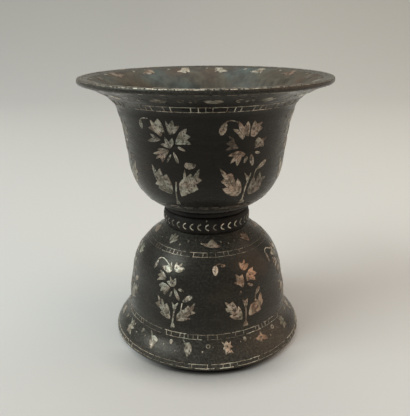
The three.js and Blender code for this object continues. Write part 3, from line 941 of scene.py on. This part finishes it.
for part, plants in (("bowl", bowl_plants), ("foot", foot_plants)):
    for k in range(plant_count):
        # Seven is odd, so the last plant repeats the one before it and not the first one.
        drawing = plants["drawings"][k % 2 if k < plant_count - 1 else 1]

        def place(flat, lift, plants=plants, k=k):
            """Flat points laid out from this plant's root."""
            return laid(plants["outline"], plants["angles"][k], plants["root"], plants["radius"], flat, lift)

        skins = plant(drawing, place, plants["tones"][k], plants["warmths"][k])
        make_piece(f"{part}_plant_{k + 1}_silver", skins, [sheet_silver], [f"{part}_plant_{k + 1}"])

# %% [markdown]
# ## Ladder bands
# A ladder is two thin wires beaten into grooves with short rungs between them. Wires work loose with
# age, so each line is laid as runs with gaps, and some rungs are left out. A rung has only a few faces,
# because there are hundreds.


# %% Wires and rungs round a casting
def ring_place(outline, length, radius):
    """A place for drawings that go right round: across is measured from the front."""
    return lambda flat, lift: laid(outline, 0.0, length, radius, flat, lift)


def brightness(angle, fade):
    """How well silver has lasted round the cup, 1 at its best and 0.3 at its worst: a cosine wave, given by
    its number of waves round the cup and the angle in degrees where one of them is brightest."""
    waves_round, brightest = fade
    return 0.65 + 0.35 * math.cos(waves_round * (angle - math.radians(brightest)))


def worn_line(place, radius, up, width, worn, tone, shortest, longest, sway=0.0, fade=(3, 0)):
    """A wire right round, in runs of chance length. worn is the mean share of each run that has gone, and
    sway tilts the line: it stands higher by sway x sin(angle), because it was marked out by eye."""
    around = 2 * np.pi * radius
    skins, at = [], 0.0
    while at < around - shortest:
        run = chance.uniform(shortest, longest)
        end = min(at + run * (1 - worn * chance.uniform(0.1, 1.9)), around - 0.2)
        across = np.linspace(at, end, max(3, int((end - at) / 1.5))) - around / 2
        wander = 0.06 * np.sin(across * 0.9 + 3 * up) + 0.04 * np.sin(across * 2.3)
        path = np.column_stack([across, up + wander + sway * np.sin(across / radius)])
        kept = brightness((at + end) / 2 / radius - math.pi, fade)
        shade = (tone + chance.uniform(-0.2, 0.2)) * kept
        skins.append(wire_of(path, width * (0.5 + 0.5 * kept), place, shade, neutral_warmth))
        at += run
    return skins


def rungs(place, radius, count, low, high, width, missing, tone, sway, fade):
    """Short upright wires between two lines; missing is the share that has gone."""
    skins = []
    for k in range(count):
        across = (k / count - 0.5) * 2 * np.pi * radius + chance.uniform(-0.25, 0.25)
        kept = brightness(across / radius, fade)
        shade = (tone + chance.uniform(-0.3, 0.3)) * kept
        if chance.uniform() * kept < missing:
            continue
        lift = sway * math.sin(across / radius)
        path = np.array([(across, low + lift), (across + chance.uniform(-0.15, 0.15), high + lift)])
        skins.append(wire_of(path, width, place, shade, neutral_warmth))
    return skins


def ladder(name, outline, heights, count, width, worn, missing, tone, node_name, fade, sway=0.0):
    """Two worn lines and their rungs between two heights, measured round at the lower one."""
    low, high = (length_at(outline, height) for height in heights)
    radius = float(np.interp(low, outline["length"], outline["points"][:, 0]))
    place = ring_place(outline, low, radius)
    skins = worn_line(place, radius, 0.0, width, worn, tone, 6, 22, sway, fade)
    skins += worn_line(place, radius, high - low, width, worn, tone, 6, 22, sway, fade)
    skins += rungs(place, radius, count, 0.0, high - low, width * 0.9, missing, tone, sway, fade)
    make_piece(name, skins, [wire_silver], [node_name])


ladder(
    "bowl_ladder_silver", bowl_outside, (119.9, 122.1), 96, 0.36, 0.04, 0.2, 0.8, "bowl_ladder", (3, 2))
ladder(
    "foot_shoulder_ladder_silver", foot_outside, (50.4, 51.9), 90, 0.3, 0.08, 0.3, 0.5,
    "foot_shoulder_wire", (3, -9))
ladder(
    "foot_flare_ladder_silver", foot_outside, (13.1, 15.3), 116, 0.38, 0.12, 0.25, 0.62, "foot_flare_wire",
    (7, -15), 0.4)
ladder(
    "foot_edge_ladder_silver", foot_outside, (2.0, 3.7), 84, 0.38, 0.12, 0.36, 0.95, "foot_edge_wire", (5, 8))

# %% [markdown]
# ## The lip
# Two silver lines run round the lip's outside. The upper one stands on the edge, where hands have worn it to
# dashes, and a third, finer line lies just inside it.

# %% The lines on the lip
lip_place = ring_place(bowl_outside, length_at(bowl_outside, 128.4), rim_radius)
lip_rise = length_at(bowl_outside, 130.55) - length_at(bowl_outside, 128.4)
lip_fade = (3, -4)
lip_skins = worn_line(lip_place, rim_radius, lip_rise, 0.45, 0.2, 0.85, 0.8, 3.0, fade=lip_fade)
lip_skins += worn_line(lip_place, rim_radius, 0.0, 0.26, 0.3, 0.35, 1.5, 8.0, fade=lip_fade)
lip_top_radius = 57.1
lip_top_place = ring_place(lip_inside, 1.3, lip_top_radius)
lip_skins += worn_line(lip_top_place, lip_top_radius, 0.0, 0.3, 0.15, 0.5, 2.0, 12.0, fade=lip_fade)
make_piece("lip_silver", lip_skins, [wire_silver])

# %% [markdown]
# ## Small leaves and dots
# Between the bands, small leaves, curls and dots fill the turned hollows: under the rim, on the shoulder
# of the foot and on its flare, and round the inside of the mouth.

# %% Small shapes
pennant_leaf = [(0, -4.0), (1.8, -1.3), (1.6, 1.3), (0.4, 3.0), (-1.2, 2.4), (-3.2, 4.2), (-1.3, 0.9),
                (-1.9, -0.6), (-0.8, -2.1)]
tall_leaf = [(0.3, -4.2), (1.9, -1.1), (2.4, 1.2), (-0.2, 2.4), (-1.4, 2.2), (-3.3, 4.2), (-1.9, 1.1),
             (-2.5, 0), (-1.4, -2.3)]
open_leaf = [(0.6, -3.1), (3.1, -3.5), (1.7, -1.0), (3.2, -0.1), (2.2, 1.0), (2.6, 3.0), (1.2, 2.0), (0, 3.5),
             (-1.2, 2.2), (-3.0, 3.5), (-1.4, 0.9), (-2.3, -0.7), (-1.1, -1.7), (-1.2, -3.7)]
spread_leaf = [(0, -2.8), (0.8, -1.6), (3.5, -2.2), (3.7, -0.3), (1.3, 1.0), (0.8, 3.1), (-0.2, 1.4),
               (-1.8, 0.7), (-4.0, 0.9), (-3.1, -0.3), (-1.5, -1.2)]
maple_leaf = [(0.6, -3.2), (2.2, -0.8), (3.2, 1.8), (1.6, 1.4), (1.0, 3.2), (-0.4, 1.7), (-2.2, 2.8),
              (-1.9, 0.6), (-3.4, 0.4), (-1.6, -1.6)]
boat_leaf = [(0, -2.2), (6, -2.1), (3.4, 0.6), (1.2, 2.9), (-2.0, 0.2), (-6.2, 0.4), (-3.6, -1.0)]
long_leaf = [(-4.2, -0.2), (-1.0, -1.0), (2.6, -0.9), (4.6, 0.4), (1.0, 1.0), (-2.2, 0.9)]
mouth_leaf = [(-2.8, -1.5), (0.2, -1.6), (0.8, -0.3), (3.3, 0.9), (1.2, 1.2), (-0.4, 1.7), (-1.2, 1.0),
              (-2.6, 1.3)]
ringlet_width = 0.5


def scattered(corners, place, across, up, tone, warmth, size, flip=False, plain=0.7):
    """One small leaf put down at a place on the flat, sized across and up, and turned round if flip."""
    factor = np.array([-size[0] if flip else size[0], size[1]])
    return sheet_of(np.array(corners) * factor + (across, up), place, tone, warmth, 0.04, plain)


def dot(place, across, up, size, tone):
    """A small upright drop, size tall and 0.8 x size wide."""
    ends = (across, up - size / 2), (across, up + size / 2)
    return sheet_of(drop(*ends, size * 0.8), place, tone, neutral_warmth, 0.0, 0.8)


def ringlet(place, across, up, radius, tone, start=0.0, sweep=360.0):
    """A wire bent into a ring or a curl: it starts at an angle and sweeps on, both in degrees."""
    turn = np.radians(start + np.linspace(0, sweep, 14))
    path = np.column_stack([across + radius * np.cos(turn), up + radius * np.sin(turn)])
    return wire_of(path, ringlet_width, place, tone, neutral_warmth)


# %% [markdown]
# ### On the flare
# Leaves of four kinds stand on the flare, with a dot or a ringlet in each gap and smaller dots beside it.
# They could stand at equal angles on a level line, but the ones in view were set out by eye. Their step is
# kept, so the gap at the back is narrower, and the row sways up and down once round the foot.

# %% The flare of the foot
flare_radius = 43.5
flare_place = ring_place(foot_outside, length_at(foot_outside, 9.7), flare_radius)
degree = math.radians(1) * flare_radius  # what one degree takes across, in mm
flare_leaves = [tall_leaf, pennant_leaf, open_leaf, spread_leaf, open_leaf]
flare_shades = [(0.45, 0.45), (0.45, 0.5), (0.86, 0.72), (0.3, 0.78), (0.25, 0.35)]
flare_leaf_count = 15
flare_skins = []
for k in range(flare_leaf_count):
    angle = -36.4 + 24.3 * (k if k < flare_leaf_count / 2 else k - flare_leaf_count)
    sway = 1.3 * math.sin(math.radians(angle - 5)) - 0.4
    if k < len(flare_shades):
        tone, warmth = flare_shades[k]
    else:
        tone, warmth = chance.uniform(0.3, 0.7), chance.uniform(0.4, 0.65)
    size = (0.85, 0.85) if k % 5 == 2 else (1.0, 1.0)
    flare_skins.append(scattered(flare_leaves[k % 5], flare_place, angle * degree, sway, tone, warmth, size))
    middle = angle + 12.6
    if k % 2:
        flare_skins.append(ringlet(flare_place, middle * degree, sway + 1.6, 0.85, chance.uniform(0.4, 0.7)))
    else:
        flare_skins.append(dot(flare_place, middle * degree, sway + 2.2, 2.6, chance.uniform(0.3, 0.6)))
    for step in (-1.0, 1.0):
        across = middle * degree + step * chance.uniform(2.2, 3.6)
        height, dot_size = sway + chance.uniform(-1.8, 2.6), chance.uniform(0.7, 1.3)
        flare_skins.append(dot(flare_place, across, height, dot_size, chance.uniform(0.2, 0.5)))
make_piece("foot_flare_leaves_silver", flare_skins, [sheet_silver])

# %% [markdown]
# ### On the shoulder
# Boat-shaped leaves and maple-like ones take turns on the shoulder, with four dots after each. The surface
# curves both ways there, but the flat drawings still serve, because across is measured at its own radius.

# %% The shoulder of the foot
shoulder_radius = 26.5
shoulder_place = ring_place(foot_outside, length_at(foot_outside, 54.8), shoulder_radius)
degree = math.radians(1) * shoulder_radius
shoulder_skins = []
for k in range(8):
    across = (4.0 + 45 * k) * degree
    if k % 2 == 0:
        shoulder_skins.append(scattered(boat_leaf, shoulder_place, across, 0.0, 0.5, 0.66, (0.85, 0.95)))
    else:
        tone, warmth = chance.uniform(0.3, 0.45), 0.45
        # The one to the right of the middle is worn to a dull reddish ghost.
        if k == 1:
            tone, warmth = 0.18, 0.85
        shoulder_skins.append(
            scattered(maple_leaf, shoulder_place, across, 0.6, tone, warmth, (1.0, 1.0), k > 4))
    for step in (12, 20, 28, 35):
        height, dot_size = chance.uniform(-1.8, 2.2), chance.uniform(0.7, 1.6)
        shoulder_skins.append(
            dot(shoulder_place, across + step * degree, height, dot_size, chance.uniform(0.1, 0.4)))
make_piece("foot_shoulder_leaves_silver", shoulder_skins, [sheet_silver])

# %% [markdown]
# ### Under the rim
# Long leaves, curls and dots lie in the hollow under the rim. It leans towards the ground, so the eye meets
# it at a low angle, and the leaf is drawn at twice its height to look as tall as it should.

# %% The band under the rim
band_radius = 49.0
rim_place = ring_place(bowl_outside, length_at(bowl_outside, 125.0), band_radius)
degree = math.radians(1) * band_radius
rim_leaf_count = 14
# The tones of the leaves beside the front one, which wear has made unlike.
rim_tones = {1: 0.65, 2: 1.0, 12: 0.9, 13: 0.3}
rim_skins = []
for k in range(rim_leaf_count):
    angle = 3.8 + 360 / rim_leaf_count * k
    tone = rim_tones.get(k, chance.uniform(0.4, 0.7))
    rim_skins.append(scattered(long_leaf, rim_place, angle * degree, 0.0, tone, 0.42, (0.9, 2.0), k % 2 == 0))
    middle = (angle + 12.9) * degree
    rim_skins.append(ringlet(rim_place, middle - 1.4, 0.3, 1.4, chance.uniform(0.35, 0.6), 40, 250))
    rim_skins.append(dot(rim_place, middle + 1.8, -0.6, 1.8, chance.uniform(0.25, 0.5)))
    rim_skins.append(dot(rim_place, middle + 4.0, 0.4, 1.5, chance.uniform(0.15, 0.4)))
make_piece("rim_band_silver", rim_skins, [sheet_silver])

# %% [markdown]
# ### Inside the mouth
# A ring of leaves and dots runs round inside the mouth. Only its far side shows in the photograph, so the
# leaves there have tones of their own, and chance gives the rest.

# %% The inside of the mouth
mouth_radius = 53.0
leaf_ring_radius = 52.0
# The radius shrinks along the inside, and interp wants it rising, so both are taken as negative.
mouth_length = float(np.interp(-leaf_ring_radius, -bowl_inside["points"][:, 0], bowl_inside["length"])) + 0.6
mouth_place = ring_place(bowl_inside, mouth_length, mouth_radius)
degree = math.radians(1) * mouth_radius
# The tone and warmth of the leaves on the far side, from left to right.
far_leaves = {
    4: (0.15, 0.6), 3: (0.4, 0.75), 2: (0.7, 0.66), 1: (0.96, 0.6), 0: (0.92, 0.52), 14: (0.85, 0.3),
    13: (0.4, 0.85), 12: (0.15, 0.6),
}
mouth_leaf_count = 15
mouth_skins = []
for k in range(mouth_leaf_count):
    angle = 180 - 9.9 + 360 / mouth_leaf_count * k
    tone, warmth = far_leaves.get(k, (chance.uniform(0.6, 1.0), 0.55))
    mouth_skins.append(
        scattered(mouth_leaf, mouth_place, angle * degree, 0.0, tone, warmth, (1.3, 2.1), k % 3 == 0, 0.9))
    mouth_skins.append(dot(mouth_place, (angle + 9) * degree, -1.6, 2.4, chance.uniform(0.4, 0.7)))
make_piece("mouth_leaves_silver", mouth_skins, [sheet_silver])

# %% [markdown]
# ## Silver on the neck
# The bead ring carries crescents of wire, each bent and beaten in on its own. One crescent copied round
# would look machine-made, so each has its own tone, and away from the front chance may put a dot in place of
# one. Two fine lines run under the bowl.

# %% Silver on the neck
bead_radius = 22.0
bead_place = ring_place(bead_outside, length_at(bead_outside, 61.9), bead_radius)
bead_skins = [dot(bead_place, 0.0, 3.2, 0.9, 0.3)]
crescent_count = 37
crescent_width = 0.52
# The tones of the crescents in front, numbered from the middle one.
bead_tones = {-6: 0.05, -5: 0.1, -4: 0.2, -3: 0.6, 1: 0.05, 2: 0.95, 3: 0.85, 4: 0.6, 5: 0.1, 6: 0.05}
for k in range(-(crescent_count // 2), crescent_count // 2 + 1):
    across = k * 2 * np.pi * bead_radius / crescent_count
    if chance.uniform() < 0.05 and abs(k) > 6:
        bead_skins.append(dot(bead_place, across, 0.0, 0.9, 0.4))
        continue
    path = curve((across + 1.0, 1.5), (across - 1.0, 0.8), (across - 1.0, -0.8), (across + 1.0, -1.5), 7)
    tone = chance.uniform(0.2, 0.6)
    bead_skins.append(wire_of(path, crescent_width, bead_place, bead_tones.get(k, tone), 0.3))
make_piece("bead_ring_silver", bead_skins, [wire_silver])
underside_radius = 33.0
underside_place = ring_place(bowl_outside, length_at(bowl_outside, 74.3), underside_radius)
underside_skins = worn_line(underside_place, underside_radius, 0.0, 0.24, 0.3, 0.12, 3.0, 12.0)
underside_skins += worn_line(underside_place, underside_radius, 1.2, 0.24, 0.2, 0.22, 3.0, 12.0)
make_piece("bowl_underside_silver", underside_skins, [wire_silver])

# %% [markdown]
# ## The stage
# The photograph has a pale seamless sweep of paper. A floor and a wall would meet in a line, so the sweep is
# one profile carried sideways: flat under the cup, then curving up far behind it. It lies 0.6 mm under the
# foot. Its colour holds painted light and shade: palest round the cup, darker towards the camera and up the
# wall, warmer to the right, and darkest in a painted contact shadow in the narrow gap in front of the foot.

# %% The sweep
sweep_half_width = 3.0
paper_level = -0.0006
bend_start, bend_radius, wall_height = 0.9, 0.8, 3.2
wall_place = bend_start + bend_radius
bend = np.linspace(0, np.pi / 2, 16)[1:]
sweep_profile = np.vstack([
    np.linspace((-sweep_half_width, paper_level), (bend_start, paper_level), 12),
    np.column_stack([bend_start + bend_radius * np.sin(bend), bend_radius - bend_radius * np.cos(bend)]),
    np.linspace((wall_place, bend_radius), (wall_place, wall_height), 6)[1:],
])
sides = np.linspace(-sweep_half_width, sweep_half_width, 9)
sweep_grid = np.stack(np.broadcast_arrays(
    sides[None, :], sweep_profile[:, 0][:, None], sweep_profile[:, 1][:, None]), -1)
rows, columns = sweep_grid.shape[:2]
row, column = np.meshgrid(np.arange(rows - 1), np.arange(columns - 1), indexing="ij")
corner = (row * columns + column).reshape(-1)
sweep_faces = np.stack([corner, corner + 1, corner + columns + 1, corner + columns], -1)
sweep_mesh = bpy.data.meshes.new("paper_sweep")
sweep_mesh.from_pydata(sweep_grid.reshape(-1, 3).tolist(), [], sweep_faces.tolist())
sweep_mesh.shade_smooth()
sweep = bpy.data.objects.new("paper_sweep", sweep_mesh)
bpy.context.scene.collection.objects.link(sweep)
print("paper_sweep", len(sweep_mesh.polygons), "faces")

# %% Its paper
contact_shadow_reach = 0.018
paper, shader = new_finish("paper", roughness=0.9, metallic=0.0, specular=0.2)
# Painted light and shade: the paper is palest round the cup and darker towards the camera and up the wall.
paper_colour = ramp(
    paper, ranged(paper, place_along(paper, "Y"), -1.0, 1.7),
    (0.0, grey(0.24)), (0.24, grey(0.33)), (0.325, (0.6, 0.605, 0.6)), (0.37, (0.69, 0.695, 0.685)),
    (0.44, (0.655, 0.66, 0.65)), (0.56, (0.63, 0.63, 0.615)), (0.73, (0.585, 0.585, 0.57)),
    (1.0, (0.42, 0.42, 0.40)))
# Painted warm light: to the right of the cup the paper is warmer and a little brighter.
sideways = ranged(paper, place_along(paper, "X"), -0.2, 0.2)
painted_warm_light = ramp(paper, sideways, (0.0, grey(1.0)), (1.0, (1.1, 1.09, 1.07)))
paper_colour = multiplied(paper, paper_colour, painted_warm_light)
# A painted contact shadow: an Ambient Occlusion node darkens the paper where the cup shuts it in.
gap = node(paper, "ShaderNodeAmbientOcclusion", Distance=contact_shadow_reach, samples=8)
painted_contact_shadow = ramp(
    paper, gap.outputs["AO"], (0.4, grey(0.04)), (0.62, grey(0.12)), (0.8, grey(0.42)), (0.92, grey(0.82)),
    (0.98, grey(1.0)))
# The painted contact shadow is kept to the paper in front of the foot.
in_front = ranged(paper, place_along(paper, "Y"), -0.028, -0.046)
painted_contact_shadow = blended(paper, in_front, grey(1.0), painted_contact_shadow)
use(paper, shader, Base_Color=multiplied(paper, paper_colour, painted_contact_shadow))
sweep.data.materials.append(paper)

# %% [markdown]
# ## The light
# Cool daylight comes from a window at the left, a broad light fills from the ceiling, and a warm room glows
# weakly from the right. Small lamps would cut hard shadows, so all three are more than a metre wide.

# %% Soft light
world = bpy.data.worlds.new("world")
bpy.context.scene.world = world
world.use_nodes = True
background = world.node_tree.nodes["Background"]
background.inputs["Color"].default_value = (1.0, 0.98, 0.94, 1)
background.inputs["Strength"].default_value = 0.38
lamp_target = Vector((0, 0, 0.06))


def softbox(name, place, size, watts, colour):
    """A square lamp that faces the cup."""
    data = bpy.data.lights.new(name, "AREA")
    data.energy = watts
    data.size = size
    data.color = colour
    lamp = bpy.data.objects.new(name, data)
    lamp.location = place
    lamp.rotation_euler = (lamp_target - Vector(place)).to_track_quat("-Z", "Y").to_euler()
    bpy.context.scene.collection.objects.link(lamp)
    print("lamp", name, watts, "W")


softbox("window", (-1.25, -0.47, 1.12), 1.1, 18.0, (0.93, 1.0, 0.98))
softbox("ceiling", (0.1, 0.4, 2.0), 2.2, 13.0, (1.0, 0.99, 0.96))
softbox("room", (1.3, -0.2, 0.7), 1.5, 7.0, (1.0, 0.66, 0.42))
bpy.context.scene.view_settings.view_transform = "Standard"
